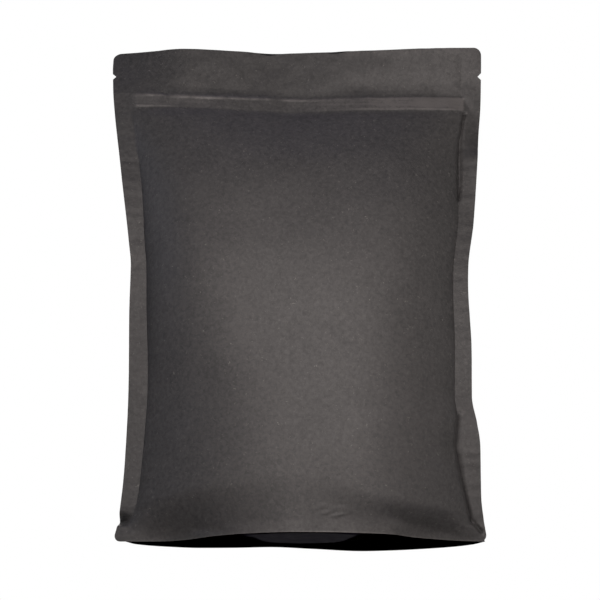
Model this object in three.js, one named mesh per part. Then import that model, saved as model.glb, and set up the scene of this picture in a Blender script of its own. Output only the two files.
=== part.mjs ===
// A shut, filled stand-up pouch of black kraft laminate, standing on its opened bottom gusset.
// Two paper panels are heat-sealed to each other down both sides, meet at a press-to-close zip near
// the top, and part below it round the contents. A third panel, folded up between them at the foot,
// is the gusset: filled, it opens into an uneven base, sags to the floor in the middle and leaves a
// hollow under each end. The contents can't be seen, so the pouch is one solid from skin to skin.
// Millimetres. +Z up, +X to the right of the front panel, which faces -Y. Origin on the floor,
// under the middle of the pouch.
import * as THREE from "three";

// ---- Driving dimensions -------------------------------------------------------------------------
const FLAT_WIDTH = 190; // across the empty pouch, and across the mouth of the filled one
const HEIGHT = 255.5; // standing, filled
const PLY = 0.2; // one laminate panel
const MOUTH_RADIUS = 4; // rounded corners of the mouth
const FOOT_RADIUS = 3.6; // rounded corners of the foot

const ZIP_TOP = 231; // the zip's strip shows through the paper as a raised band
const ZIP_FOOT = 223.1;
const ZIP_BAND = 0.35; // how far the band stands out
const ZIP_EDGE = 0.7; // how much of its height each of its soft edges takes up

const NOTCH_HEIGHT = 241; // tear notches, one in each side seal
const NOTCH_DEPTH = 1.8;
const NOTCH_GAPE = 3.4;

const SKIRT_HEIGHT = 7.5; // the standing rim where panel and gusset are sealed together
const SKIRT_PLY = 0.7; // that rim's thickness
const GUSSET_VAULT = 10; // height of the gusset's middle before it sags
const GUSSET_FOLD = 46; // how high its middle fold runs near a side seal
const SAG = { x: 3, y: -9, across: 32, along: 17, depth: 19 }; // where it is pressed to the floor

// How far each side is drawn in from half the flat width: [height, inset].
const LEFT_INSET = [
  [0, 6.6], [11, 8.8], [40, 11.2], [80, 12.2], [115, 11.9], [138, 12.3], [150, 11.1], [190, 5.9], [228, 1.2],
  [246, 0],
];
const RIGHT_INSET = [
  [0, 3], [11, 4.6], [22, 5.5], [46, 5.5], [58, 6.8], [71, 8.9], [97, 8.5], [126, 9.4], [137, 9.1], [163, 5.5],
  [196, 2.7], [228, 0.3], [246, 0],
];
// Width of each side seal as it shows: [height, width].
const LEFT_SEAL = [
  [0, 6], [12, 7.5], [40, 8.4], [80, 9.4], [120, 8.4], [142, 7.6], [185, 9.6], [220, 9], [231, 8],
];
const RIGHT_SEAL = [
  [0, 1.2], [5, 3], [10, 6], [15, 6.3], [30, 8.8], [46, 11.2], [61, 8.6], [95, 8.2], [139, 7.4], [163, 7.8],
  [175, 8.4], [189, 8.4], [199, 8.9], [206, 9], [213, 8.4], [222, 8], [231, 8],
];

// How far the middle of each panel stands out from the plane of the seals: [height, distance].
const FRONT_BELLY = [
  [0, 28], [30, 29.4], [60, 27.4], [100, 24.4], [125, 23], [150, 20.8], [170, 18.4], [185, 15.8], [205, 10.4],
  [217, 5.4], [ZIP_FOOT, 1.9], [ZIP_TOP, 1], [ZIP_TOP + 1.2, 0],
];
const BACK_BELLY = [
  [0, 27], [30, 28], [70, 27], [120, 25], [150, 22], [185, 14.6], [205, 9.6], [217, 5],
  [ZIP_FOOT, 1.9], [ZIP_TOP, 1], [ZIP_TOP + 1.2, 0],
];
// How flat the belly's middle is on each side: [height, power]. A higher power steepens the flank.
const LEFT_FLATNESS = [[0, 2.4], [60, 2.6], [130, 4.8], [165, 4.2], [200, 4.6]];
const RIGHT_FLATNESS = [[0, 3], [40, 3], [115, 3.4], [170, 4.6], [200, 5]];
const BELLY_ROUNDNESS = 0.88;

// The foot's outline in plan, out from the plane of the seals: [across from -1 to 1, distance].
const FRONT_FOOT = [
  [-1, 0], [-0.8, 0.5], [-0.67, 4.6], [-0.5, 15.4], [-0.36, 21.2], [-0.2, 25.2], [-0.06, 26.6], [0.06, 26.6],
  [0.2, 25.8], [0.34, 23.4], [0.48, 19.8], [0.58, 12.8], [0.7, 7.6], [0.88, 1.6], [1, 0],
];
const BACK_FOOT = [
  [-1, 0], [-0.95, 7.5], [-0.8, 14.4], [-0.6, 18.6], [-0.4, 18], [-0.19, 16.2], [0.04, 21.4], [0.32, 28.4],
  [0.5, 26], [0.8, 17], [0.94, 8.5], [1, 0],
];
// Where the foot's outline has given way to the belly's: [across from -1 to 1, height].
const FOOT_REACH = [[-1, 20], [-0.7, 22], [0, 28], [0.6, 16], [1, 14]];

// The plies above the zip bow to and fro as one sheet: [x, distance towards the back].
const ZIP_BOW = [
  [-95, -4], [-70, -2.8], [-50, -1.2], [-20, 3], [2, 5.4], [17, 4.4], [34, 3], [55, 2.4], [78, 2], [95, 4],
];
const MOUTH_BOW = [
  [-95, 4], [-80, 1.4], [-58, -3.4], [-38, -1.2], [-10, 3.2], [12, 1.2], [40, -1.4], [84, -4.6], [95, -4.6],
];
const BOW_END = 188; // the bow has died away at this height
const LEAN_START = [[85, ZIP_TOP], [95, 214]]; // where it starts to turn into the mouth's: [x, height]
// The side seals wander too: [height, distance towards the back].
const LEFT_WANDER = [
  [0, 0], [28, 2.4], [56, 2.6], [90, 0.2], [125, -3], [150, -5.2], [174, -5.8], [195, -4.4], [210, -2],
  [ZIP_FOOT, 0],
];
const RIGHT_WANDER = [
  [0, 0], [28, -1], [60, -3.2], [100, -2], [130, -1.4], [160, 1.4], [195, 3.8], [212, 2], [ZIP_FOOT, 0],
];
// How far each seal's outer edge turns towards the back: [height, slope].
const LEFT_TURN = [
  [0, 0.05], [7, 0.1], [11, 1.3], [14.5, 0.1], [20, 0], [60, -0.04], [120, -0.06], [150, -0.14], [180, -0.12],
  [205, 0.06], [222, 0.1], [240, 0],
];
const RIGHT_TURN = [
  [0, 0], [20, 0.04], [45, -0.05], [66, 0.12], [90, 0], [150, 0], [165, 0.05], [178, -0.06], [190, -0.2],
  [197, -0.24], [205, 0.12], [214, 0.44], [222, 0.3], [232, 0.12], [240, 0],
];

// Where a panel is pressed in or, below zero, pushed out by its contents and its folds.
const DENTS = {
  front: [
    { x: 76, z: 43, halfWidth: 4.5, halfHeight: 11, lean: 0.1, depth: 1.8 },
    { x: -80, z: 15, halfWidth: 4, halfHeight: 9, lean: -0.2, depth: 1.2 },
    { x: -76, z: 42, halfWidth: 12, halfHeight: 30, lean: 0, depth: 3 },
    { x: -62, z: 160, halfWidth: 20, halfHeight: 34, lean: 0, depth: -1 },
    { x: 50, z: 166, halfWidth: 18, halfHeight: 22, lean: 0, depth: -0.8 },
  ],
  back: [
    { x: -30, z: 70, halfWidth: 26, halfHeight: 22, lean: 0.1, depth: 1.2 },
    { x: 44, z: 120, halfWidth: 22, halfHeight: 30, lean: -0.2, depth: -0.9 },
    { x: -8, z: 158, halfWidth: 34, halfHeight: 16, lean: 0.1, depth: 1.1 },
    { x: 66, z: 60, halfWidth: 8, halfHeight: 24, lean: 0, depth: 1.4 },
    { x: -70, z: 52, halfWidth: 8, halfHeight: 22, lean: 0, depth: 1.3 },
  ],
};
const TAUT_EDGE = 30; // dents fade out over this height under the zip

// ---- Curves ------------------------------------------------------------------------------------
const { lerp } = THREE.MathUtils;
const clamp01 = (t) => THREE.MathUtils.clamp(t, 0, 1);
const ease = (t) => THREE.MathUtils.smoothstep(t, 0, 1);
const bump = (t) => Math.exp(-t * t);

/** A smooth curve through [place, value] stations that never overshoots them. */
function through(stations) {
  const place = stations.map(([at]) => at);
  const value = stations.map(([, v]) => v);
  const last = stations.length - 1;
  const rise = place.slice(1).map((next, i) => (value[i + 1] - value[i]) / (next - place[i]));
  const slope = place.map((_, i) => {
    if (i === 0 || i === last) return rise[Math.min(i, last - 1)];
    const product = rise[i - 1] * rise[i];
    return product <= 0 ? 0 : (2 * product) / (rise[i - 1] + rise[i]);
  });
  return (at) => {
    if (at <= place[0]) return value[0];
    if (at >= place[last]) return value[last];
    const i = place.findIndex((next) => next > at) - 1;
    const span = place[i + 1] - place[i];
    const t = (at - place[i]) / span;
    const turn = slope[i] * (1 - t) - slope[i + 1] * t;
    return lerp(value[i], value[i + 1], ease(t)) + turn * span * t * (1 - t);
  };
}

const leftInset = through(LEFT_INSET);
const rightInset = through(RIGHT_INSET);
const leftSeal = through(LEFT_SEAL);
const rightSeal = through(RIGHT_SEAL);
const belly = { front: through(FRONT_BELLY), back: through(BACK_BELLY) };
const leftFlatness = through(LEFT_FLATNESS);
const rightFlatness = through(RIGHT_FLATNESS);
const foot = { front: through(FRONT_FOOT), back: through(BACK_FOOT) };
const footReach = through(FOOT_REACH);
const zipBow = through(ZIP_BOW);
const mouthBow = through(MOUTH_BOW);
const leanStart = through(LEAN_START);
const leftWander = through(LEFT_WANDER);
const rightWander = through(RIGHT_WANDER);
const leftTurn = through(LEFT_TURN);
const rightTurn = through(RIGHT_TURN);

// ---- The sheet's outline ---------------------------------------------------------------------------
/** How far a rounded corner takes the edge in, at a distance from the sheet's end. */
function cornerInset(fromEnd, radius) {
  const left = Math.max(0, radius - fromEnd);
  return radius - Math.sqrt(radius ** 2 - left ** 2);
}

/** The outer edges of the sheet at a height, tear notches included. */
function edges(z) {
  const corners = cornerInset(HEIGHT - z, MOUTH_RADIUS) + cornerInset(z, FOOT_RADIUS);
  const notch = NOTCH_DEPTH * clamp01(1 - Math.abs(z - NOTCH_HEIGHT) / (NOTCH_GAPE / 2));
  const half = FLAT_WIDTH / 2 - corners - notch;
  return [leftInset(z) - half, half - rightInset(z)];
}

/** The lines where the panels part from the side seals, at a height. */
function sealLines(z) {
  return [leftSeal(z) + leftInset(z) - FLAT_WIDTH / 2, FLAT_WIDTH / 2 - rightInset(z) - rightSeal(z)];
}

/** How far the sheet midway between the panels lies towards the back. */
function midplane(x, z) {
  const start = leanStart(x);
  const bow = lerp(zipBow(x), mouthBow(x), clamp01((z - start) / (HEIGHT - start)));
  const wander = lerp(leftWander(z), rightWander(z), clamp01(x / FLAT_WIDTH + 0.5));
  const [left, right] = sealLines(z);
  const turn = leftTurn(z) * Math.max(0, left - x) + rightTurn(z) * Math.max(0, x - right);
  return bow * ease((z - BOW_END) / (ZIP_FOOT - BOW_END)) + wander + turn;
}

// ---- The two panels --------------------------------------------------------------------------------
const PANELS = { front: -1, back: 1 };

/** How far the zip's band stands out at a height. */
function zipRelief(z) {
  return ZIP_BAND * ease((z - ZIP_FOOT) / ZIP_EDGE) * ease((ZIP_TOP - z) / ZIP_EDGE);
}

/** How deep a panel is pressed in at a place. */
function dent(name, x, z) {
  const press = ({ x: cx, z: cz, halfWidth, halfHeight, lean, depth }) =>
    depth * bump((x - cx - lean * (cz - z)) / halfWidth) * bump((z - cz) / halfHeight);
  return DENTS[name].reduce((sum, each) => sum + press(each), 0);
}

/** How far a panel stands off the midplane; across runs from -1 to 1 between the seal lines. */
function standOff(name, across, x, z) {
  if (Math.abs(across) >= 1) return PLY;
  const flatness = lerp(leftFlatness(z), rightFlatness(z), ease(across + 0.5));
  const crown = (1 - Math.abs(across) ** flatness) ** BELLY_ROUNDNESS;
  const filled = lerp(foot[name](across), belly[name](z) * crown, ease(z / footReach(across)));
  const slack = clamp01(crown * 1.5) * ease((ZIP_FOOT - z) / TAUT_EDGE);
  return PLY + Math.max(0, filled + zipRelief(z) * ease(crown * 4) - dent(name, x, z) * slack);
}

/** A point of a panel. A place across is { across } on the body, or { side, share } on a seal. */
function panelPoint(name, { across, side, share }, z) {
  const lines = sealLines(z);
  const onSeal = side < 0 ? lerp(edges(z)[0], lines[0], share) : lerp(edges(z)[1], lines[1], share);
  const x = side ? onSeal : lerp(lines[0], lines[1], (across + 1) / 2);
  const off = standOff(name, side ?? across, x, z);
  return new THREE.Vector3(x, midplane(x, z) + PANELS[name] * off, z);
}

// ---- The gusset's underside ------------------------------------------------------------------------
const UNDERSIDE_TENTS = [-1, 0, 0.2, 0.45, 0.7, 1, 0.7, 0.45, 0.2, 0, -1]; // -1 is the rim's foot
const HAIRLINE = 0.05; // the least rise under the plies, so that no two points meet

/** Height of the gusset over the floor; tent runs from 0 at the skirt to 1 at the middle fold. */
function gussetHeight(x, y, tent, room) {
  const beyond = clamp01((Math.abs(x - SAG.x) - SAG.across) / (FLAT_WIDTH / 2 - SAG.across));
  const peak = GUSSET_VAULT + (GUSSET_FOLD - GUSSET_VAULT) * beyond;
  const sag = SAG.depth * bump((x - SAG.x) / SAG.across) * bump((y - SAG.y) / SAG.along);
  return room * Math.max(0, lerp(SKIRT_HEIGHT, peak, tent) - sag);
}

/** A point inside the panels at a place across and a height; share runs from front to back. */
function insidePoint(place, z, share) {
  const front = panelPoint("front", place, z);
  const back = panelPoint("back", place, z);
  const rim = Math.min(SKIRT_PLY, (back.y - front.y) / 4);
  return new THREE.Vector3(front.x, lerp(front.y + rim, back.y - rim, share), z);
}

/** The underside from the front skirt to the back one, at a place across. */
function undersidePoints(place) {
  const depth = panelPoint("back", place, 0).y - panelPoint("front", place, 0).y;
  const room = clamp01((depth - 1) / 10);
  return UNDERSIDE_TENTS.map((tent, i) => {
    const facing = Math.sign(i - (UNDERSIDE_TENTS.length - 1) / 2);
    const share = 0.5 + (facing * (1 - Math.max(0, tent))) / 2;
    const below = insidePoint(place, 0, share);
    const height = tent < 0 ? 0 : gussetHeight(below.x, below.y, tent, room);
    return insidePoint(place, Math.max(height, HAIRLINE * (1 + tent) * (1 - room)), share);
  });
}

// ---- The skin -----------------------------------------------------------------------------------------
const SEAL_SHARES = [0, 0.5]; // columns on each seal, from its outer edge
const BODY_COLUMNS = 28;
const BODY_ROWS = 22;
const FOOT_ROWS = [0, 0.25, 0.8, 1.8, 4.5, 7, 9, 11, 12.8, 14.5, 19];
const ZIP_ROWS = [-5, -2.2, 0, 0.7, 2.3, 4, 5.6, 7.2, 7.9, 9.1].map((up) => ZIP_FOOT + up);
const NOTCH_ROWS = [-0.5, 0, 0.5].map((gape) => NOTCH_HEIGHT + gape * NOTCH_GAPE);
const MOUTH_ROWS = [9, 4, 2.4, 1.2, 0.5, 0.15, 0].map((down) => HEIGHT - down);

function rowHeights() {
  const [from, to] = [FOOT_ROWS.at(-1), ZIP_ROWS[0]];
  const body = Array.from({ length: BODY_ROWS - 1 }, (_, i) => lerp(from, to, (i + 1) / BODY_ROWS));
  return [...FOOT_ROWS, ...body, ...ZIP_ROWS, ...NOTCH_ROWS, ...MOUTH_ROWS];
}

function columnPlaces() {
  const seal = (side) => SEAL_SHARES.map((share) => ({ side, share }));
  const body = Array.from({ length: BODY_COLUMNS + 1 }, (_, i) => {
    const even = (2 * i) / BODY_COLUMNS - 1;
    return { across: lerp(even, Math.sin((even * Math.PI) / 2), 0.5) }; // closer towards the seals
  });
  return [...seal(-1), ...body, ...seal(1).reverse()];
}

/** The pouch's outline at one place across: down the front, under the gusset and up the back. */
function girth(place) {
  const heights = rowHeights();
  const up = (name) => heights.map((z) => panelPoint(name, place, z));
  return [...up("front").reverse(), ...undersidePoints(place), ...up("back")];
}

/** A closed skin through closed outlines, its first and last filled in by strips across them. */
function skinOver(outlines) {
  const around = outlines[0].length;
  const at = (outline, k) => outline * around + (k % around);
  const triangles = [];
  const quad = (a, b, c, d) => triangles.push(a, b, c, a, c, d);
  for (let o = 0; o + 1 < outlines.length; o++) {
    for (let k = 0; k < around; k++) quad(at(o, k), at(o, k + 1), at(o + 1, k + 1), at(o + 1, k));
  }
  const end = outlines.length - 1;
  for (let i = 0, j = around - 1; i + 1 < j; i++, j--) {
    if (i + 1 === j - 1) {
      triangles.push(at(0, i), at(0, j), at(0, i + 1), at(end, i), at(end, i + 1), at(end, j));
    } else {
      quad(at(0, i), at(0, j), at(0, j - 1), at(0, i + 1));
      quad(at(end, i), at(end, i + 1), at(end, j - 1), at(end, j));
    }
  }
  return new THREE.BufferGeometry().setFromPoints(outlines.flat()).setIndex(triangles);
}

// ---- The part ------------------------------------------------------------------------------------------
const blackKraft = new THREE.MeshStandardMaterial({
  name: "black_kraft",
  color: 0x2b2928,
  roughness: 0.62,
  metalness: 0,
});

const pouch = new THREE.Mesh(skinOver(columnPlaces().map(girth)), blackKraft);
pouch.name = "pouch";
pouch.geometry.computeVertexNormals();

const part = new THREE.Group();
part.name = "kraft_stand_up_pouch";
part.add(pouch);

export default part;
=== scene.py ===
# A filled stand-up pouch of black kraft laminate: two panels sealed down both sides, a gusset that
# opens into the base and a press-to-close zip under the mouth, seen from a little below its floor.
# Lengths are in millimetres, but for lights and camera, and +X is to the right of the front panel.
import math

import bpy
import numpy as np
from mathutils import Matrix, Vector


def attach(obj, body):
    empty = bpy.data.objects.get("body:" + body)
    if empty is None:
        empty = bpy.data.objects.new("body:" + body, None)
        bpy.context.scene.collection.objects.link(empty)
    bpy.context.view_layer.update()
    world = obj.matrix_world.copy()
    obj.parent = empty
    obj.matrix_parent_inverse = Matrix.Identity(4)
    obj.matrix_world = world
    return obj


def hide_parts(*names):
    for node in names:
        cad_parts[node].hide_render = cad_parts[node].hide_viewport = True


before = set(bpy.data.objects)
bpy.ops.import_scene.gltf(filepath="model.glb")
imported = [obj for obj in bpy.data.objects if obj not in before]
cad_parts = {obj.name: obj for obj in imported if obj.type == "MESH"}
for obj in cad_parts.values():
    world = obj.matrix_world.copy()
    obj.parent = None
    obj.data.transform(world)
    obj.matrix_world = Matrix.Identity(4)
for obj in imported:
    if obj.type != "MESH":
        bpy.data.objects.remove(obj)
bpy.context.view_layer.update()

# ==== The front panel =============================================================================
# A sheet of black kraft paper on a barrier film, 190 mm across. Between its two side seals it
# bulges over the contents; above the zip it lies on the back panel, and the two bow to and fro as
# one; its foot curves round the opened base. It is drawn as a grid of columns and rows.
MM = 0.001  # a millimetre in Blender's metres
FLAT_WIDTH = 190.0
HEIGHT = 255.5
PLY = 0.2
HAIRLINE = 0.01  # left between two sheets that touch
MOUTH_RADIUS = 4.0
FOOT_RADIUS = 3.6
NOTCH_HEIGHT, NOTCH_DEPTH, NOTCH_GAPE = 241.0, 1.8, 3.4
ZIP_TOP, ZIP_FOOT = 231.0, 223.1  # the band that the zip's strips raise in the paper


def lerp(a, b, share):
    return a + (b - a) * share


def ease(t):
    """A smooth step, 0 up to t = 0 and 1 from t = 1 on."""
    t = np.clip(t, 0.0, 1.0)
    return t * t * (3.0 - 2.0 * t)


def bump(t):
    """A bell that is 1 at t = 0."""
    return np.exp(-t * t)


def within(at, start, end, fade_in, fade_out):
    """1 from start to end, fading to 0 at both over the lengths given."""
    return ease((at - start) / fade_in) * ease((end - at) / fade_out)


def through(*stations):
    """A smooth curve through (place, value) stations that never overshoots them."""
    place, value = np.array(stations, float).T
    rise = np.diff(value) / np.diff(place)
    turns = rise[:-1] * rise[1:] <= 0
    middle = np.where(turns, 1.0, rise[:-1] + rise[1:])
    inner = np.where(turns, 0.0, 2.0 * rise[:-1] * rise[1:] / middle)
    slope = np.concatenate([rise[:1], inner, rise[-1:]])

    def curve(at):
        at = np.clip(at, place[0], place[-1])
        i = np.clip(np.searchsorted(place, at, side="right") - 1, 0, len(place) - 2)
        span = place[i + 1] - place[i]
        t = (at - place[i]) / span
        turn = slope[i] * (1.0 - t) - slope[i + 1] * t
        return lerp(value[i], value[i + 1], ease(t)) + turn * span * t * (1.0 - t)

    return curve


# How far each side is drawn in from half the flat width, and how wide its seal is, by height.
left_inset = through((0, 6.6), (11, 8.8), (40, 11.2), (80, 12.2), (115, 11.9), (138, 12.3),
                     (150, 11.1), (190, 5.9), (228, 1.2), (246, 0))
right_inset = through((0, 3), (11, 4.6), (22, 5.5), (46, 5.5), (58, 6.8), (71, 8.9), (97, 8.5),
                      (126, 9.4), (137, 9.1), (163, 5.5), (196, 2.7), (228, 0.3), (246, 0))
left_seal = through((0, 6), (12, 7.5), (40, 8.4), (80, 9.4), (120, 8.4), (142, 7.6), (185, 9.6),
                    (220, 9), (231, 8))
right_seal = through((0, 1.2), (5, 3), (10, 6), (15, 6.3), (30, 8.8), (46, 11.2), (61, 8.6),
                     (95, 8.2), (139, 7.4), (163, 7.8), (175, 8.4), (189, 8.4), (199, 8.9),
                     (206, 9), (213, 8.4), (222, 8), (231, 8))

# How far the middle of the panel stands out from the plane of the seals, by height, and how the
# foot's outline runs in plan, from the left seal at -1 to the right one at 1.
front_belly = through((0, 28), (30, 29.4), (60, 27.4), (100, 24.4), (125, 23), (150, 20.8),
                      (170, 18.4), (185, 15.8), (205, 10.4), (217, 5.4), (ZIP_FOOT, 1.9),
                      (ZIP_TOP, 0.8), (ZIP_TOP + 1.4, 0.3), (ZIP_TOP + 3.6, 0))
front_foot = through((-1, 0), (-0.8, 0.5), (-0.67, 4.6), (-0.5, 15.4), (-0.36, 21.2), (-0.2, 25.2),
                     (-0.06, 26.6), (0.06, 26.6), (0.2, 25.8), (0.34, 23.4), (0.48, 19.8),
                     (0.58, 12.8), (0.7, 7.6), (0.88, 1.6), (1, 0))
# The height at which the foot's outline has given way to the belly's, by place across, and how flat
# the belly's middle is on the left and on the right, as a power, by height.
foot_reach = through((-1, 20), (-0.7, 22), (0, 28), (0.6, 16), (1, 14))
left_flatness = through((0, 2.4), (60, 2.6), (130, 4.8), (165, 4.2), (200, 4.6))
right_flatness = through((0, 3), (40, 3), (115, 3.4), (170, 4.6), (200, 5))
BELLY_ROUNDNESS = 0.88  # a power too: below 1 the belly swells out sooner beside its seals

# How the two plies above the zip bow towards the back, by place across, and how the seals wander.
zip_bow = through((-95, -4), (-70, -2.8), (-50, -1.2), (-20, 3), (2, 5.4), (17, 4.4), (34, 3),
                  (55, 2.4), (78, 2), (95, 4))
mouth_bow = through((-95, 4), (-80, 1.4), (-58, -3.4), (-38, -1.2), (-10, 3.2), (12, 1.2),
                    (40, -1.4), (84, -4.6), (95, -4.6))
BOW_END = 188.0  # the height at which the bow has died away in the panels
lean_start = through((85, ZIP_TOP), (95, 214))  # from what height up the mouth's bow takes over
left_wander = through((0, 0), (28, 2.4), (56, 2.6), (90, 0.2), (125, -3), (150, -5.2), (174, -5.8),
                      (195, -4.4), (210, -2), (ZIP_FOOT, 0))
right_wander = through((0, 0), (28, -1), (60, -3.2), (100, -2), (130, -1.4), (160, 1.4), (195, 3.8),
                       (212, 2), (ZIP_FOOT, 0))
# How far each seal's outer edge turns towards the back, as a slope, by height.
left_turn = through((0, 0.05), (7, 0.1), (11, 1.3), (14.5, 0.1), (20, 0), (60, -0.04),
                    (120, -0.06), (150, -0.14), (180, -0.12), (205, 0.06), (222, 0.1), (240, 0))
right_turn = through((0, 0), (20, 0.04), (45, -0.05), (66, 0.12), (90, 0), (150, 0), (165, 0.05),
                     (178, -0.06), (190, -0.2), (197, -0.24), (205, 0.12), (214, 0.44), (222, 0.3),
                     (232, 0.12), (240, 0))


def corner_inset(from_end, radius):
    """How far a rounded corner takes the edge in, at a distance from the sheet's end."""
    left = np.maximum(0.0, radius - from_end)
    return radius - np.sqrt(radius ** 2 - left ** 2)


def seal_lines(z):
    """Where the panels part from the left and right seals."""
    left = left_inset(z) + left_seal(z) - FLAT_WIDTH / 2
    right = FLAT_WIDTH / 2 - right_inset(z) - right_seal(z)
    return left, right


def sheet_edges(z):
    """The outer edges of the sheet, with its rounded corners and the two tear notches."""
    corners = corner_inset(HEIGHT - z, MOUTH_RADIUS) + corner_inset(z, FOOT_RADIUS)
    notch = NOTCH_DEPTH * np.clip(1 - np.abs(z - NOTCH_HEIGHT) / (NOTCH_GAPE / 2), 0, 1)
    half = FLAT_WIDTH / 2 - corners - notch
    return left_inset(z) - half, half - right_inset(z)


def across_sheet(s, z):
    """X of a place across: -1 to 1 between the seal lines, and on to -2 and 2 at the edges."""
    left_line, right_line = seal_lines(z)
    left_edge, right_edge = sheet_edges(z)
    body = lerp(left_line, right_line, (np.clip(s, -1, 1) + 1) / 2)
    on_left = (left_edge - left_line) * np.clip(-s - 1, 0, 1)
    on_right = (right_edge - right_line) * np.clip(s - 1, 0, 1)
    return body + on_left + on_right


def waves(seed, lengths, height):
    """An uneven ripple along a line: sine waves of these lengths with drawn phases."""
    phases = np.random.default_rng(seed).uniform(0, 2 * np.pi, len(lengths))

    def ripple(at):
        turns = [2 * np.pi * at / length + phase for length, phase in zip(lengths, phases)]
        return height * sum(map(np.sin, turns)) / math.sqrt(len(lengths))

    return ripple


left_pucker = waves(3, (4.7, 6.9, 11.3, 17.9), 0.13)
right_pucker = waves(8, (5.1, 7.7, 12.1, 19.7), 0.15)
PUCKER_REACH = 11.0  # how far into the body a seal's puckers run
PUCKER_FADE = 6.0  # over what height they die away under the zip


def crinkles(seed, shortest, longest, height, count=26):
    """A faint unevenness in every direction: crossing waves between two lengths."""
    draw = np.random.default_rng(seed)
    length = np.geomspace(shortest, longest, count)
    heading, phase = draw.uniform(0, np.pi, count), draw.uniform(0, 2 * np.pi, count)

    def relief(x, z):
        total = np.zeros(np.broadcast(x, z).shape)
        for wave, turn, start in zip(length, heading, phase):
            along = x * math.cos(turn) + z * math.sin(turn)
            total += wave * np.sin(2 * np.pi * along / wave + start)
        return height * total / (longest * math.sqrt(count))

    return relief


paper_crinkle = crinkles(31, 7.0, 30.0, 0.36)
TAUT_SHARE = 0.14  # how much of the crinkle is left where the contents stretch the paper
TAUT_TOP, TAUT_FADE = 217.0, 8.0  # up to which height they do, and over what height that fades

# Folds pressed into both plies where they are sealed, or into the front panel alone: the line's
# points as (x, z), its half width and its depth, which is below zero where the fold stands out.
SEAL_FOLDS = (
    (((79.2, 63), (77.5, 46), (80, 31), (83.2, 15.6), (84.2, 10.5), (89, 5)), 0.9, 1.3),
    (((86, 222), (84.5, 213), (83.4, 206), (82.7, 199), (82.6, 189), (81.9, 175)), 0.9, 1.9),
    (((-69, 231.6), (-66.4, 230.4)), 0.8, 0.6),
    (((30, 238), (92, 238)), 4.5, 0.75),
)
FRONT_FOLDS = (
    (((-48, 4.8), (-37, 2.4)), 2.0, 0.9),
    (((44, 8), (56, 6), (72, 4.5)), 3.0, 1.1),
    (((11.5, 11.6), (14.5, 12.6)), 0.7, -0.45),
    (((13, 8.6), (17.5, 10.4)), 0.7, -0.45),
    (((17.5, 12), (21.5, 11)), 0.7, -0.4),
    (((18, 7.6), (22.5, 8.8)), 0.7, -0.45),
    (((22.5, 11.2), (26, 9.4)), 0.7, -0.4),
)


def folded(folds, x, z):
    """How deep a sheet is pressed in along fold lines at a place."""
    total = np.zeros(np.broadcast(x, z).shape)
    for line, half_width, depth in folds:
        nearest = np.full(total.shape, np.inf)
        for (x1, z1), (x2, z2) in zip(line, line[1:]):
            run, rise = x2 - x1, z2 - z1
            along = np.clip(((x - x1) * run + (z - z1) * rise) / (run * run + rise * rise), 0, 1)
            nearest = np.minimum(nearest, np.hypot(x - x1 - along * run, z - z1 - along * rise))
        total += depth * bump(nearest / half_width)
    return total


def midway(s, x, z):
    """How far the sheet midway between the panels lies towards the back."""
    start = lean_start(x)
    bow = lerp(zip_bow(x), mouth_bow(x), np.clip((z - start) / (HEIGHT - start), 0, 1))
    bow = bow * ease((z - BOW_END) / (ZIP_FOOT - BOW_END))
    wander = lerp(left_wander(z), right_wander(z), np.clip(x / FLAT_WIDTH + 0.5, 0, 1))
    left_line, right_line = seal_lines(z)
    turned_left = left_turn(z) * np.maximum(0, left_line - x)
    turned_right = right_turn(z) * np.maximum(0, x - right_line)
    below_zip = ease((ZIP_FOOT - z) / PUCKER_FADE)
    from_left = ease(1 - (x - left_line) / PUCKER_REACH)
    from_right = ease(1 - (right_line - x) / PUCKER_REACH)
    puckers = (from_left * left_pucker(z) + from_right * right_pucker(z)) * below_zip
    crinkle = paper_crinkle(x, z) * lerp(TAUT_SHARE, 1.0, ease((z - TAUT_TOP) / TAUT_FADE))
    return bow + wander + turned_left + turned_right + puckers + crinkle + folded(SEAL_FOLDS, x, z)


# The zip's two strips lie behind the paper and lift it into a low band. Its two edges are lips,
# higher in some stretches than in others. The curves give their heights by place across.
ZIP_EDGE, ZIP_LIP_WIDTH = 1.0, 0.65  # over what height the band's edges rise; a lip's half width
UPPER_LIP_INSET, LOWER_LIP_INSET = 1.2, 0.8  # how far inside the band's edges their crests run
LOWER_LIP_SHIFT = 60.0  # how far along the lips' unevenness the lower one reads it
ZIP_LEFT_END, ZIP_RIGHT_END = 0.05, 0.015  # over what share of the half width the band dies away
zip_band_top = through((-86, 0.15), (-66, 0.25), (-48, 0.25), (-28, 0.15), (-10, 0.15), (30, 0.18),
                       (60, 0.16), (86, 0.18))
zip_band_foot = through((-86, 0.3), (-76, 0.3), (-60, 0.12), (10, 0.12), (40, 0.24), (86, 0.26))
upper_lip = through((-86, 0.1), (-74, 0.2), (-66, 0.1), (-58, 0.25), (-44, 0.3), (-28, 0.25),
                    (0, 0.2), (26, 0.08), (86, 0.05))
lower_lip = through((-86, 0.2), (-76, 0.2), (-60, 0.05), (20, 0.02), (50, 0.03), (86, 0.06))
upper_lip_drift = through((-86, -1.2), (-79, 0), (-70, 0), (-66, -0.7), (-40, -0.5), (0, 0.3),
                          (86, 0.3))
lip_unevenness = waves(5, (6.0, 9.0, 14.0, 23.0, 41.0), 0.4)


def zip_ends(s):
    """How much of the zip's relief there is at a place across: none beyond its ends."""
    return ease((1 + s) / ZIP_LEFT_END) * ease((1 - s) / ZIP_RIGHT_END)


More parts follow.
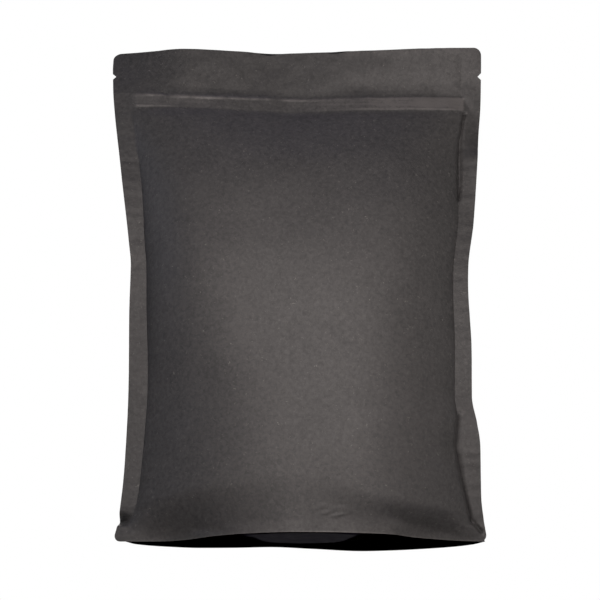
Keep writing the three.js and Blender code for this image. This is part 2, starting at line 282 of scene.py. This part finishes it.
def lip_crests(x, z):
    """How much a place has of the upper lip and of the lower one: about 1 along their crests."""
    upper = bump((z - ZIP_TOP + UPPER_LIP_INSET - upper_lip_drift(x)) / ZIP_LIP_WIDTH)
    lower = bump((z - ZIP_FOOT - LOWER_LIP_INSET) / ZIP_LIP_WIDTH)
    return upper * (1 + lip_unevenness(x)), lower * (1 + lip_unevenness(x + LOWER_LIP_SHIFT))


def zip_relief(s, x, z):
    """How far the zip lifts a panel's paper at a place."""
    band = within(z, ZIP_FOOT, ZIP_TOP, ZIP_EDGE, ZIP_EDGE)
    wedge = lerp(zip_band_foot(x), zip_band_top(x), (z - ZIP_FOOT) / (ZIP_TOP - ZIP_FOOT))
    upper, lower = lip_crests(x, z)
    return (wedge * band + upper_lip(x) * upper + lower_lip(x) * lower) * zip_ends(s)


def pressed(dents, x, z):
    """How deep dents press a panel in: each is (x, z, half width, half height, lean, depth)."""
    total = np.zeros(np.broadcast(x, z).shape)
    for dent_x, dent_z, half_width, half_height, lean, depth in dents:
        across = bump((x - dent_x - lean * (dent_z - z)) / half_width)
        total += depth * across * bump((z - dent_z) / half_height)
    return total


# Where the front panel is pressed in (or, below zero, pushed out) by its contents and its folds.
FRONT_DENTS = (
    (76, 43, 4.5, 11, 0.1, 1.8),
    (-80, 15, 4, 9, -0.2, 1.2),
    (-76, 42, 12, 30, 0, 3.0),
    (-62, 160, 20, 34, 0, -1.0),
    (50, 166, 18, 22, 0, -0.8),
)
# A slow unevenness of each panel where it is free to move: ripples along two slanting lines.
drift_across = waves(11, (41.0, 67.0, 97.0), 0.14)
drift_upward = waves(12, (37.0, 61.0, 103.0), 0.14)
DRIFT_SLANT, DRIFT_LEAN = 0.4, 0.3
SLACK_GAIN = 1.5  # how soon a panel is free to move, inwards from its seals
SLACK_FADE = 30.0  # over what height it stops being so under the zip


def stand_off(s, x, z, belly, foot, dents, folds=()):
    """How far a panel's outer face stands off the sheet midway between the panels."""
    across = np.clip(s, -1, 1)
    flatness = lerp(left_flatness(z), right_flatness(z), ease(across + 0.5))
    crown = (1 - np.abs(across) ** flatness) ** BELLY_ROUNDNESS
    filled = lerp(foot(across), belly(z) * crown, ease(z / foot_reach(across)))
    slack = np.clip(crown * SLACK_GAIN, 0, 1) * ease((ZIP_FOOT - z) / SLACK_FADE)
    drift = (drift_across(x + DRIFT_SLANT * z) + drift_upward(z - DRIFT_LEAN * x)) * slack
    pressing = pressed(dents, x, z) * slack + folded(folds, x, z)
    return PLY + np.maximum(0, filled + zip_relief(s, x, z) + drift - pressing)


# How much of the black is rubbed off along the zip's lips and its band, by place across. The
# paleness is partly wear and partly painted sheen, with painted highlights along the lips.
upper_lip_rub_and_sheen = through((-86, 0.2), (-76, 0.7), (-68, 0.2), (-60, 0.8), (-48, 1.1), (-34, 0.9),
                        (-20, 0.7), (0, 0.6), (14, 0.4), (30, 0.1), (86, 0.1))
lower_lip_rub_and_sheen = through((-86, 0.6), (-72, 0.5), (-58, 0), (20, 0), (50, 0.1), (86, 0.2))
band_rub_and_sheen = through((-86, 0.25), (-50, 0.25), (-32, 0.08), (-12, 0.05), (24, 0.45), (30, 0.4),
                   (44, 1.0), (86, 1.15))
# Fine streaks run along the band. They slope, and waver as the lips do a little further along.
band_streaks = waves(9, (1.6, 2.3, 3.7), 0.3)
STREAK_SLOPE, STREAK_WAVER, STREAK_SHIFT = 0.03, 0.4, 25.0

# The header's right half is rubbed, and more so along the mouth. On the skirt there is one rubbed
# stretch with a gap in it, and the foot's edge is worn all along, most of all beside that gap. Each
# is paler partly from wear and partly as painted sheen, and the foot's edge as a painted highlight
# too. A fade is the height over which a rub sets in, and a run is the length along which it does.
HEADER_RUB_AND_SHEEN, HEADER_RUB_SHEEN_FADE, HEADER_RUB_SHEEN_LEFT, HEADER_RUB_SHEEN_RUN = 0.15, 3.0, 15.0, 60.0
MOUTH_RUB_AND_SHEEN, MOUTH_RUB_SHEEN_HEIGHT, MOUTH_RUB_SHEEN_RUN = 0.12, 4.0, 40.0
SKIRT_RUB_AND_SHEEN, SKIRT_RUB_SHEEN_TOP, SKIRT_RUB_SHEEN_FADE = 0.15, 6.5, 2.0
SKIRT_RUB_SHEEN_LEFT, SKIRT_RUB_SHEEN_RIGHT, SKIRT_RUB_SHEEN_RUN_IN, SKIRT_RUB_SHEEN_RUN_OUT = -34.0, 52.0, 10.0, 12.0
SKIRT_GAP_X, SKIRT_GAP_WIDTH = 9.0, 6.0
EDGE_RUB_AND_SHEEN, EDGE_RUB_SHEEN_HEIGHT, EDGE_RUB_SHEEN_LEFT, EDGE_RUB_SHEEN_RUN = 0.35, 0.5, -90.0, 20.0
EDGE_PEAK_RUB_AND_SHEEN, EDGE_PEAK_X, EDGE_PEAK_WIDTH = 0.65, 16.0, 12.0


def zip_scuff(s, x, z):
    """How much the zip's band and its lips are rubbed, which also paints sheen and highlights on
    them.
    """
    upper, lower = lip_crests(x, z)
    waver = STREAK_WAVER * lip_unevenness(x + STREAK_SHIFT)
    streaks = band_streaks(z + STREAK_SLOPE * x + waver)
    band = within(z, ZIP_FOOT, ZIP_TOP, ZIP_EDGE, ZIP_EDGE) * (1 + streaks)
    rub = band_rub_and_sheen(x) * band + upper_lip_rub_and_sheen(x) * upper + lower_lip_rub_and_sheen(x) * lower
    return rub * zip_ends(s)


def header_scuff(x, z):
    """How much the header and the edge of the mouth are rubbed, which also paints sheen on them."""
    header = ease((z - ZIP_TOP) / HEADER_RUB_SHEEN_FADE) * ease((x - HEADER_RUB_SHEEN_LEFT) / HEADER_RUB_SHEEN_RUN)
    mouth = bump((HEIGHT - z) / MOUTH_RUB_SHEEN_HEIGHT) * ease(x / MOUTH_RUB_SHEEN_RUN)
    return HEADER_RUB_AND_SHEEN * header + MOUTH_RUB_AND_SHEEN * mouth


def foot_scuff(x, z):
    """How much the skirt and the edge of the foot are rubbed, which also paints sheen and a
    highlight.
    """
    skirt = ease((SKIRT_RUB_SHEEN_TOP - z) / SKIRT_RUB_SHEEN_FADE)
    skirt = skirt * within(x, SKIRT_RUB_SHEEN_LEFT, SKIRT_RUB_SHEEN_RIGHT, SKIRT_RUB_SHEEN_RUN_IN, SKIRT_RUB_SHEEN_RUN_OUT)
    skirt = skirt * (1 - bump((x - SKIRT_GAP_X) / SKIRT_GAP_WIDTH))
    edge = EDGE_RUB_AND_SHEEN + EDGE_PEAK_RUB_AND_SHEEN * bump((x - EDGE_PEAK_X) / EDGE_PEAK_WIDTH)
    edge = edge * bump(z / EDGE_RUB_SHEEN_HEIGHT) * ease((x - EDGE_RUB_SHEEN_LEFT) / EDGE_RUB_SHEEN_RUN)
    return SKIRT_RUB_AND_SHEEN * skirt + edge


def front_scuff():
    """Where the black is rubbed pale and smooth over the front panel's grid, with painted sheen."""
    s, z = np.broadcast_arrays(grid_columns(), grid_rows())
    x = across_sheet(s, z)
    return zip_scuff(s, x, z) + header_scuff(x, z) + foot_scuff(x, z)


SEAL_COLUMNS, BODY_COLUMNS = 8, 156
BUNCHING = 0.65  # how much closer together the columns are beside the seals, from 0 to 1
FOOT_ROWS, NOTCH_ROWS, MOUTH_ROWS = 8, 8, 10
# The heights between which the grid's rows are evenly spaced.
SKIRT_BAND_TOP, LOWER_BODY_TOP, ZIP_BAND_FROM, ZIP_BAND_TO = 9.0, 60.0, 213.0, 236.0


def grid_columns():
    """Places across the sheet, closer together beside the seals."""
    even = np.linspace(-1, 1, BODY_COLUMNS + 1)
    body = lerp(even, np.sin(even * np.pi / 2), BUNCHING)
    seal = np.linspace(1, 2, SEAL_COLUMNS + 1)[1:]
    return np.concatenate([-seal[::-1], body, seal])[None, :]


def grid_rows():
    """Heights up the sheet, closer together at the corners, the skirt, the notches and the zip."""
    foot = FOOT_RADIUS * np.linspace(0, 1, FOOT_ROWS + 1) ** 2
    mouth = HEIGHT - MOUTH_RADIUS * np.linspace(1, 0, MOUTH_ROWS + 1) ** 2
    notch = NOTCH_HEIGHT + NOTCH_GAPE * np.linspace(-0.5, 0.5, NOTCH_ROWS + 1)
    stretches = (
        # from, to, rows
        (foot[-1], SKIRT_BAND_TOP, 12),
        (SKIRT_BAND_TOP, LOWER_BODY_TOP, 46),
        (LOWER_BODY_TOP, ZIP_BAND_FROM, 112),
        (ZIP_BAND_FROM, ZIP_BAND_TO, 50),
        (ZIP_BAND_TO, notch[0], 4),
        (notch[-1], mouth[0], 9),
    )
    between = [np.linspace(start, end, rows + 1) for start, end, rows in stretches]
    return np.unique(np.round(np.concatenate([foot, notch, mouth, *between]), 4))[:, None]


def panel_faces(facing, belly, foot, dents, folds=()):
    """A panel's outer and inner face as grids of points; facing is -1 in front, 1 at the back."""
    s, z = np.broadcast_arrays(grid_columns(), grid_rows())
    x = across_sheet(s, z)
    mid = midway(s, x, z)
    off = stand_off(s, x, z, belly, foot, dents, folds)
    outer = np.stack([x, mid + facing * off, z], axis=-1)
    inner = np.stack([x, mid + facing * np.maximum(off - PLY, HAIRLINE), z], axis=-1)
    return outer, inner


SHARP_ANGLE = math.radians(50)


def closed_sheet(name, outer, inner, flipped=False, scuff=None):
    """A mesh object over two grids of points: slot 0 is its outer face, 1 its edges, 2 its inner."""
    rows, columns = outer.shape[:2]
    points = np.concatenate([outer.reshape(-1, 3), inner.reshape(-1, 3)]) * MM
    index = np.arange(rows * columns).reshape(rows, columns)

    def quads(a, b, c, d):
        return np.stack([a.ravel(), b.ravel(), c.ravel(), d.ravel()], axis=-1)

    face = quads(index[:-1, :-1], index[:-1, 1:], index[1:, 1:], index[1:, :-1])
    rim = np.concatenate([index[0, :], index[1:, -1], index[-1, -2::-1], index[-2:0:-1, 0]])
    after = np.roll(rim, -1)
    inside = rows * columns
    edge = quads(rim, rim + inside, after + inside, after)
    corners = np.concatenate([face, edge, face[:, ::-1] + inside])
    if flipped:
        corners = corners[:, ::-1]
    mesh = bpy.data.meshes.new(name)
    mesh.vertices.add(len(points))
    mesh.vertices.foreach_set("co", points.ravel())
    mesh.loops.add(corners.size)
    mesh.loops.foreach_set("vertex_index", corners.ravel())
    mesh.polygons.add(len(corners))
    mesh.polygons.foreach_set("loop_start", np.arange(0, corners.size, 4))
    slots = np.repeat([0, 1, 2], [len(face), len(edge), len(face)])
    mesh.polygons.foreach_set("material_index", slots)
    mesh.update(calc_edges=True)
    mesh.validate()
    mesh.shade_smooth()
    mesh.set_sharp_from_angle(angle=SHARP_ANGLE)
    # How rubbed the outer face is; the same share also paints sheen and highlights on it.
    if scuff is not None:
        rub_and_sheen_share = mesh.attributes.new("scuff", "FLOAT", "POINT")
        rub_and_sheen_share.data.foreach_set("value", np.concatenate([scuff.ravel(), np.zeros(scuff.size)]))
    piece = bpy.data.objects.new(name, mesh)
    bpy.context.scene.collection.objects.link(piece)
    return piece


def add_node(tree, kind, settings=None, **sockets):
    """A new node: its settings, then its sockets set or linked, by name or as _ and a number."""
    node = tree.nodes.new(kind)
    for name, value in (settings or {}).items():
        setattr(node, name, value)
    for name, value in sockets.items():
        key = int(name[1:]) if name.startswith("_") else name.replace("_", " ")
        socket = node.inputs[key]
        if isinstance(value, bpy.types.NodeSocket):
            tree.links.new(value, socket)
        else:
            socket.default_value = value
    return node


def make_kraft_grain():
    """Kraft's surface, for the paper face and the cut edges: short fibres in every direction, a
    cloudy tone, a few paler flecks, and a paler rubbed tone, which is also painted sheen and
    highlight."""
    tree = bpy.data.node_groups.new("kraft_grain", "ShaderNodeTree")
    for in_out, socket_type, names in (
        ("INPUT", "NodeSocketColor", ("Dark Fibre", "Pale Fibre", "Fleck", "Scuffed Fibre")),
        ("INPUT", "NodeSocketFloat", ("Scuff", "Polish", "Smoothest", "Roughest")),
        ("OUTPUT", "NodeSocketColor", ("Tone",)),
        ("OUTPUT", "NodeSocketFloat", ("Roughness", "Height")),
    ):
        for name in names:
            tree.interface.new_socket(name=name, socket_type=socket_type, in_out=in_out)
    given = tree.nodes.new("NodeGroupInput")
    place = add_node(tree, "ShaderNodeTexCoord").outputs["Object"]
    felt = add_node(tree, "ShaderNodeTexNoise", Vector=place, Scale=550.0, Detail=3.0,
                    Roughness=0.6, Distortion=0.5).outputs["Fac"]
    sheen = add_node(tree, "ShaderNodeTexNoise", Vector=place, Scale=520.0, Detail=3.0,
                     Roughness=0.65, Distortion=0.8).outputs["Fac"]
    cloud = add_node(tree, "ShaderNodeTexNoise", Vector=place, Scale=60.0, Detail=5.0,
                     Roughness=0.6, Distortion=0.3).outputs["Fac"]
    fleck = add_node(tree, "ShaderNodeTexNoise", Vector=place, Scale=800.0, Detail=1.0,
                     Roughness=0.5, Distortion=1.5).outputs["Fac"]
    shade = add_node(tree, "ShaderNodeMath", {"operation": "MULTIPLY_ADD"},
                     _0=cloud, _1=0.3, _2=felt)
    tone = add_node(tree, "ShaderNodeMapRange", Value=shade.outputs[0], From_Min=0.4, From_Max=0.9)
    # A Mix of colours takes them in its sockets 6 and 7, and gives the result in 2.
    paper = add_node(tree, "ShaderNodeMix", {"data_type": "RGBA"}, Factor=tone.outputs["Result"],
                     _6=given.outputs["Dark Fibre"], _7=given.outputs["Pale Fibre"])
    speck = add_node(tree, "ShaderNodeMapRange", Value=fleck, From_Min=0.7, From_Max=0.78)
    flecked = add_node(tree, "ShaderNodeMix", {"data_type": "RGBA"}, Factor=speck.outputs["Result"],
                       _6=paper.outputs[2], _7=given.outputs["Fleck"])
    # Rubbing, and the painted sheen with it, takes the high fibres first.
    high = add_node(tree, "ShaderNodeMapRange", Value=shade.outputs[0], From_Min=0.4, From_Max=0.9,
                    To_Min=0.5, To_Max=1.5)
    rub_and_sheen_share = add_node(tree, "ShaderNodeMath", {"operation": "MULTIPLY", "use_clamp": True},
                      _0=high.outputs["Result"], _1=given.outputs["Scuff"])
    scuffed = add_node(tree, "ShaderNodeMix", {"data_type": "RGBA"}, Factor=rub_and_sheen_share.outputs[0],
                       _6=flecked.outputs[2], _7=given.outputs["Scuffed Fibre"])
    rough = add_node(tree, "ShaderNodeMapRange", Value=sheen, From_Min=0.65, From_Max=0.35,
                     To_Min=given.outputs["Smoothest"], To_Max=given.outputs["Roughest"])
    polish = add_node(tree, "ShaderNodeMath", {"operation": "MULTIPLY"}, _0=rub_and_sheen_share.outputs[0],
                      _1=given.outputs["Polish"])
    smoothed = add_node(tree, "ShaderNodeMath", {"operation": "SUBTRACT"},
                        _0=rough.outputs["Result"], _1=polish.outputs[0])
    result = tree.nodes.new("NodeGroupOutput")
    tree.links.new(scuffed.outputs[2], result.inputs["Tone"])
    tree.links.new(smoothed.outputs[0], result.inputs["Roughness"])
    tree.links.new(felt, result.inputs["Height"])
    return tree


kraft_grain = make_kraft_grain()
RUB_POLISH = 0.12  # how much smoother the paper is where it is rubbed through


def kraft(name, dark, pale, fleck, scuffed, smoothest, roughest, grain_height):
    """A material of kraft paper with its own colours, gloss and depth of grain."""
    material = bpy.data.materials.new(name)
    material.use_nodes = True
    tree = material.node_tree
    shader = tree.nodes["Principled BSDF"]
    scuff = add_node(tree, "ShaderNodeAttribute", {"attribute_name": "scuff"}).outputs["Fac"]
    grain = add_node(tree, "ShaderNodeGroup", {"node_tree": kraft_grain}, Dark_Fibre=(*dark, 1),
                     Pale_Fibre=(*pale, 1), Fleck=(*fleck, 1), Scuffed_Fibre=(*scuffed, 1),
                     Scuff=scuff, Polish=RUB_POLISH, Smoothest=smoothest, Roughest=roughest)
    relief = add_node(tree, "ShaderNodeBump", Height=grain.outputs["Height"],
                      Distance=grain_height * MM)
    tree.links.new(grain.outputs["Tone"], shader.inputs["Base Color"])
    tree.links.new(grain.outputs["Roughness"], shader.inputs["Roughness"])
    tree.links.new(relief.outputs["Normal"], shader.inputs["Normal"])
    return material


# Each kraft's rubbed colour is paler than its fibres; where the paper is rubbed it paints sheen and
# highlights as well as wear.
black_kraft = kraft("black_kraft", dark=(0.006, 0.0056, 0.0056), pale=(0.026, 0.0245, 0.0243),
                    fleck=(0.06, 0.0565, 0.053), scuffed=(0.05, 0.046, 0.045), smoothest=0.62,
                    roughest=0.68, grain_height=0.06)
kraft_core = kraft("kraft_core", dark=(0.10, 0.094, 0.088), pale=(0.17, 0.16, 0.15),
                   fleck=(0.24, 0.22, 0.2), scuffed=(0.24, 0.22, 0.2), smoothest=0.7, roughest=0.85,
                   grain_height=0.1)


def barrier_film(name, colour, roughness, haze, gloss):
    """A plastic film whose shine is clouded unevenly."""
    material = bpy.data.materials.new(name)
    material.use_nodes = True
    tree = material.node_tree
    shader = tree.nodes["Principled BSDF"]
    place = add_node(tree, "ShaderNodeTexCoord").outputs["Object"]
    cloud = add_node(tree, "ShaderNodeTexNoise", Vector=place, Scale=160.0, Detail=3.0)
    clouded = add_node(tree, "ShaderNodeMapRange", Value=cloud.outputs["Fac"], To_Min=roughness,
                       To_Max=roughness + haze)
    tree.links.new(clouded.outputs["Result"], shader.inputs["Roughness"])
    shader.inputs["Base Color"].default_value = (*colour, 1)
    shader.inputs["Specular IOR Level"].default_value = gloss
    return material


# The lining is a dark, dull film. Where it shows at the partings, its darkness also stands in for
# the shade inside the pouch: painted shade.
lining = barrier_film("lining", colour=(0.006, 0.006, 0.007), roughness=0.35, haze=0.2, gloss=0.12)


def dress(piece, face=black_kraft):
    """The finish and the frame's calls that every sheet of the pouch shares."""
    for material in (face, kraft_core, lining):
        piece.data.materials.append(material)
    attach(piece, "root")
    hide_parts("pouch")


# Where the plies have parted, the front one's edge dips: along the mouth, half width, how deep.
PARTINGS = ((-14.5, 4.5, 1.3), (20.5, 5.5, 1.1))
PARTING_FOOT, PARTING_RISE = 243.0, 10.0  # from which height up a dip shifts the ply, and how soon


def dipped(face):
    """A face of the front panel with its mouth edge let down where the plies have parted."""
    x, y, z = np.moveaxis(face, -1, 0)
    dip = sum(depth * bump((x - at) / half_width) for at, half_width, depth in PARTINGS)
    return np.stack([x, y, z - dip * ease((z - PARTING_FOOT) / PARTING_RISE)], axis=-1)


front_faces = panel_faces(-1, front_belly, front_foot, FRONT_DENTS, FRONT_FOLDS)
front_panel = closed_sheet("front_panel", *map(dipped, front_faces), scuff=front_scuff())
dress(front_panel)

# ==== The back panel ==============================================================================
# The same laminate, sealed to the front panel down both sides and pressed to it above the zip. Its
# inside shows over the front one's mouth edge in two places, where the plies have parted.
back_belly = through((0, 27), (30, 28), (70, 27), (120, 25), (150, 22), (185, 14.6), (205, 9.6),
                     (217, 5), (ZIP_FOOT, 1.9), (ZIP_TOP, 1), (ZIP_TOP + 1.2, 0))
back_foot = through((-1, 0), (-0.95, 7.5), (-0.8, 14.4), (-0.6, 18.6), (-0.4, 18), (-0.19, 16.2),
                    (0.04, 21.4), (0.32, 28.4), (0.5, 26), (0.8, 17), (0.94, 8.5), (1, 0))
BACK_DENTS = (
    (-30, 70, 26, 22, 0.1, 1.2),
    (44, 120, 22, 30, -0.2, -0.9),
    (-8, 158, 34, 16, 0.1, 1.1),
    (66, 60, 8, 24, 0, 1.4),
    (-70, 52, 8, 22, 0, 1.3),
)

back_faces = panel_faces(1, back_belly, back_foot, BACK_DENTS)
back_panel = closed_sheet("back_panel", *back_faces, flipped=True)
dress(back_panel)

# ==== The bottom gusset ===========================================================================
# A third sheet, folded up between the panels and sealed to each of them in a standing skirt. In a
# filled pouch it opens: it sags to the floor in the middle and rises into a hollow under each end.
SKIRT_HEIGHT = 7.5
GUSSET_VAULT, GUSSET_FOLD = 10.0, 46.0  # how high its ridge is drawn over the sag and at the ends
# The sag's middle, its half widths across the pouch and from front to back, and how far it hangs.
SAG_X, SAG_Y, SAG_ACROSS, SAG_ALONG, SAG_DEPTH = 3.0, -9.0, 32.0, 17.0, 19.0
# It lies flat where the panels are no more than SHUT_ROOM apart at the foot, and stands at its full
# height where they are OPENING_ROOM more apart than that.
SHUT_ROOM, OPENING_ROOM = 1.0, 10.0
GUSSET_END = 0.985  # how near the seal lines the sheet is drawn
GUSSET_COLUMNS, SKIRT_ROWS, TENT_ROWS = 150, 6, 26
gusset_ripple = waves(21, (13.0, 21.0, 34.0), 0.35)


def between_panels(s, z, share, clear):
    """X and Y of a place between the panels' insides: share is 0 at the front one, 1 at the back."""
    x = across_sheet(s, z)
    mid = midway(s, x, z)
    front = mid - stand_off(s, x, z, front_belly, front_foot, FRONT_DENTS, FRONT_FOLDS) + PLY
    back = mid + stand_off(s, x, z, back_belly, back_foot, BACK_DENTS) - PLY
    gap = np.minimum(clear, (back - front) / 3)  # at most a third of the room between them
    return x, lerp(front + gap, back - gap, share)


def up_and_down(up_skirt, up_tent):
    """A column of values up the front skirt and tent to the ridge, and down again at the back."""
    up = np.concatenate([up_skirt, up_tent])
    return np.concatenate([up, up[-2::-1]])[:, None]


def gusset_face(clear):
    """The gusset as a grid from the front skirt's foot, over the tent, to the back skirt's foot."""
    s = np.linspace(-GUSSET_END, GUSSET_END, GUSSET_COLUMNS + 1)[None, :]
    # skirt grows to 1 at a skirt's top, tent from there to 1 at the ridge, and facing is -1 in
    # front of the ridge and 1 behind it.
    skirt = up_and_down(np.linspace(0, 1, SKIRT_ROWS), np.ones(TENT_ROWS))
    tent = up_and_down(np.zeros(SKIRT_ROWS), np.linspace(0, 1, TENT_ROWS + 1)[1:])
    facing = np.sign(np.arange(len(tent)) - (len(tent) - 1) / 2)[:, None]
    share = 0.5 + facing * (1 - tent) / 2 + np.zeros_like(s)
    x, y = between_panels(s, np.zeros_like(share), share, clear)
    room = np.clip((y[-1] - y[0] - SHUT_ROOM) / OPENING_ROOM, 0, 1)
    beyond = np.clip((np.abs(x - SAG_X) - SAG_ACROSS) / (FLAT_WIDTH / 2 - SAG_ACROSS), 0, 1)
    ridge = lerp(GUSSET_VAULT, GUSSET_FOLD, beyond)
    sag = SAG_DEPTH * bump((x - SAG_X) / SAG_ACROSS) * bump((y - SAG_Y) / SAG_ALONG)
    ripple = gusset_ripple(x) * tent * (1 - tent)
    height = np.maximum(0, lerp(SKIRT_HEIGHT, ridge, tent) - sag + ripple) * room * skirt
    x, y = between_panels(s, height, share, clear)
    return np.stack([x, y, height], axis=-1)


gusset_under = gusset_face(PLY + 2 * HAIRLINE)
gusset_over = gusset_face(HAIRLINE)
gusset_over[SKIRT_ROWS:-SKIRT_ROWS, :, 2] += PLY
gusset_film = barrier_film("gusset_film", colour=(0.012, 0.009, 0.016), roughness=0.35, haze=0.25,
                           gloss=0.01)
bottom_gusset = closed_sheet("bottom_gusset", gusset_under, gusset_over, flipped=True)
dress(bottom_gusset, gusset_film)

# ==== The floor ===================================================================================
# A pale sheet under the pouch, which can be seen from above only, because the view comes from a
# little below it. It is open where the gusset sags, so that the sag is lit from below.
FLOOR_SIDE = 3000.0
FLOOR_DROP = 0.2  # how far the floor lies under the pouch
OPENING_X, OPENING_FRONT, OPENING_BACK = 3.2, -28.0, 5.8
OPENING_STEPS = 12
opening_half_width = through((OPENING_FRONT, 30.5), (-21, 27), (-8, 22), (0, 18.5), (3.5, 14.5),
                             (5.3, 9), (OPENING_BACK, 0))
FRONT_COVER = 4.0  # how far behind the front panel's foot the opening starts


def floor_opening():
    """The opening's outline under the pouch: its points in order round it, and their headings."""
    y = lerp(OPENING_BACK, OPENING_FRONT, np.linspace(0, 1, OPENING_STEPS) ** 2)
    half_width = opening_half_width(y)
    x = OPENING_X + np.concatenate([half_width[::-1], -half_width[1:]])
    y = np.concatenate([y[::-1], y[1:]])
    front_x = np.linspace(x[-1], x[0], OPENING_STEPS + 2)[1:-1]
    front_y = np.full(OPENING_STEPS, OPENING_FRONT)
    x, y = np.concatenate([x, front_x]), np.concatenate([y, front_y])
    left_line, right_line = seal_lines(0.0)
    across = (x - left_line) / (right_line - left_line) * 2 - 1
    y = np.maximum(y, FRONT_COVER - front_foot(across))
    heading = np.arctan2(y - y.mean(), x - x.mean())
    return np.stack([x, y], axis=-1)[np.argsort(heading)], np.sort(heading)


# A ring of faces from the opening out to a square edge, along the same headings.
floor_mesh = bpy.data.meshes.new("floor")
opening, heading = floor_opening()
outward = np.stack([np.cos(heading), np.sin(heading)], axis=-1)
outer_edge = outward * (FLOOR_SIDE / 2) / np.abs(outward).max(axis=1, keepdims=True)
outlines = np.concatenate([opening, outer_edge])
floor_points = [(x * MM, y * MM, -FLOOR_DROP * MM) for x, y in outlines]
count = len(opening)
floor_faces = [(i, i + count, (i + 1) % count + count, (i + 1) % count) for i in range(count)]
floor_mesh.from_pydata(floor_points, [], floor_faces)
floor = bpy.data.objects.new("floor", floor_mesh)
bpy.context.scene.collection.objects.link(floor)

pale_floor = bpy.data.materials.new("pale_floor")
pale_floor.use_nodes = True
floor_tree = pale_floor.node_tree
floor_shader = floor_tree.nodes["Principled BSDF"]
floor_shader.inputs["Base Color"].default_value = (0.65, 0.65, 0.64, 1)
floor_shader.inputs["Roughness"].default_value = 0.7
seen_through = add_node(floor_tree, "ShaderNodeBsdfTransparent")
one_sided = add_node(floor_tree, "ShaderNodeMixShader",
                     _0=add_node(floor_tree, "ShaderNodeNewGeometry").outputs["Backfacing"],
                     _1=floor_shader.outputs[0], _2=seen_through.outputs[0])
floor_tree.links.new(one_sided.outputs[0], floor_tree.nodes["Material Output"].inputs["Surface"])
floor_mesh.materials.append(pale_floor)

# ==== The light ===================================================================================
# A small light stands close in front at mid height, so that the belly is brightest in its middle.
# A cool light and a warm one fill the two sides, and one each stands over the pouch and behind it.
# All round is plain white, which lights the pouch only faintly.
WARM, COOL, BLUISH = (1.0, 0.915, 0.88), (0.74, 0.68, 1.0), (0.74, 0.77, 0.95)
LIGHTS = (
    # name, azimuth and elevation in degrees, distance and side in metres, watts, colour
    ("near_front", 5, 4, 0.3, 0.15, 1.11, WARM),
    ("left_fill", -70, 20, 0.35, 0.2, 0.22, BLUISH),
    ("right_fill", 75, 5, 0.5, 0.3, 0.43, WARM),
    ("back_light", 180, 25, 1.6, 0.9, 10.0, WARM),
    ("top_light", 0, 80, 1.5, 0.6, 2.0, COOL),
)
AIM = Vector((0.0, 0.0, 0.12))  # the middle of the pouch, which every light faces
WORLD_LIGHT = 0.27  # how bright the white all round is to the pouch; the camera sees it at 1

for light_name, azimuth, elevation, distance, side, watts, colour in LIGHTS:
    lamp = bpy.data.lights.new(light_name, "AREA")
    lamp.size = side
    lamp.energy = watts
    lamp.color = colour
    turned, raised = math.radians(azimuth), math.radians(elevation)
    level = Vector((math.sin(turned), -math.cos(turned), 0.0))
    outwards = level * math.cos(raised) + Vector((0.0, 0.0, math.sin(raised)))
    lamp_object = bpy.data.objects.new(light_name, lamp)
    lamp_object.location = AIM + outwards * distance
    lamp_object.rotation_euler = outwards.to_track_quat("Z", "Y").to_euler()
    lamp_object.visible_camera = False
    bpy.context.scene.collection.objects.link(lamp_object)

world = bpy.data.worlds.new("white")
world.use_nodes = True
bpy.context.scene.world = world
world_tree = world.node_tree
backdrop = world_tree.nodes["Background"]
is_seen = add_node(world_tree, "ShaderNodeLightPath").outputs["Is Camera Ray"]
strength = add_node(world_tree, "ShaderNodeMapRange", Value=is_seen, To_Min=WORLD_LIGHT, To_Max=1.0)
backdrop.inputs["Color"].default_value = (1, 1, 1, 1)
world_tree.links.new(strength.outputs["Result"], backdrop.inputs["Strength"])

# ==== The camera ==================================================================================
# A long lens a metre away, in front of the pouch and lower than its foot. It looks up at the
# middle of the front panel.
CAMERA_TARGET = Vector((0.0017, 0.0, 0.1213))
CAMERA_DISTANCE = 1.0
CAMERA_ELEVATION = math.radians(-16.5)
camera_data = bpy.data.cameras.new("camera")
camera_data.lens = 120.3
camera_data.sensor_width = 36.0
camera = bpy.data.objects.new("camera", camera_data)
to_camera = Vector((0, -math.cos(CAMERA_ELEVATION), math.sin(CAMERA_ELEVATION)))
camera.location = CAMERA_TARGET + to_camera * CAMERA_DISTANCE
camera.rotation_euler = to_camera.to_track_quat("Z", "Y").to_euler()
bpy.context.scene.collection.objects.link(camera)
bpy.context.scene.camera = camera
bpy.context.scene.view_settings.view_transform = "Standard"
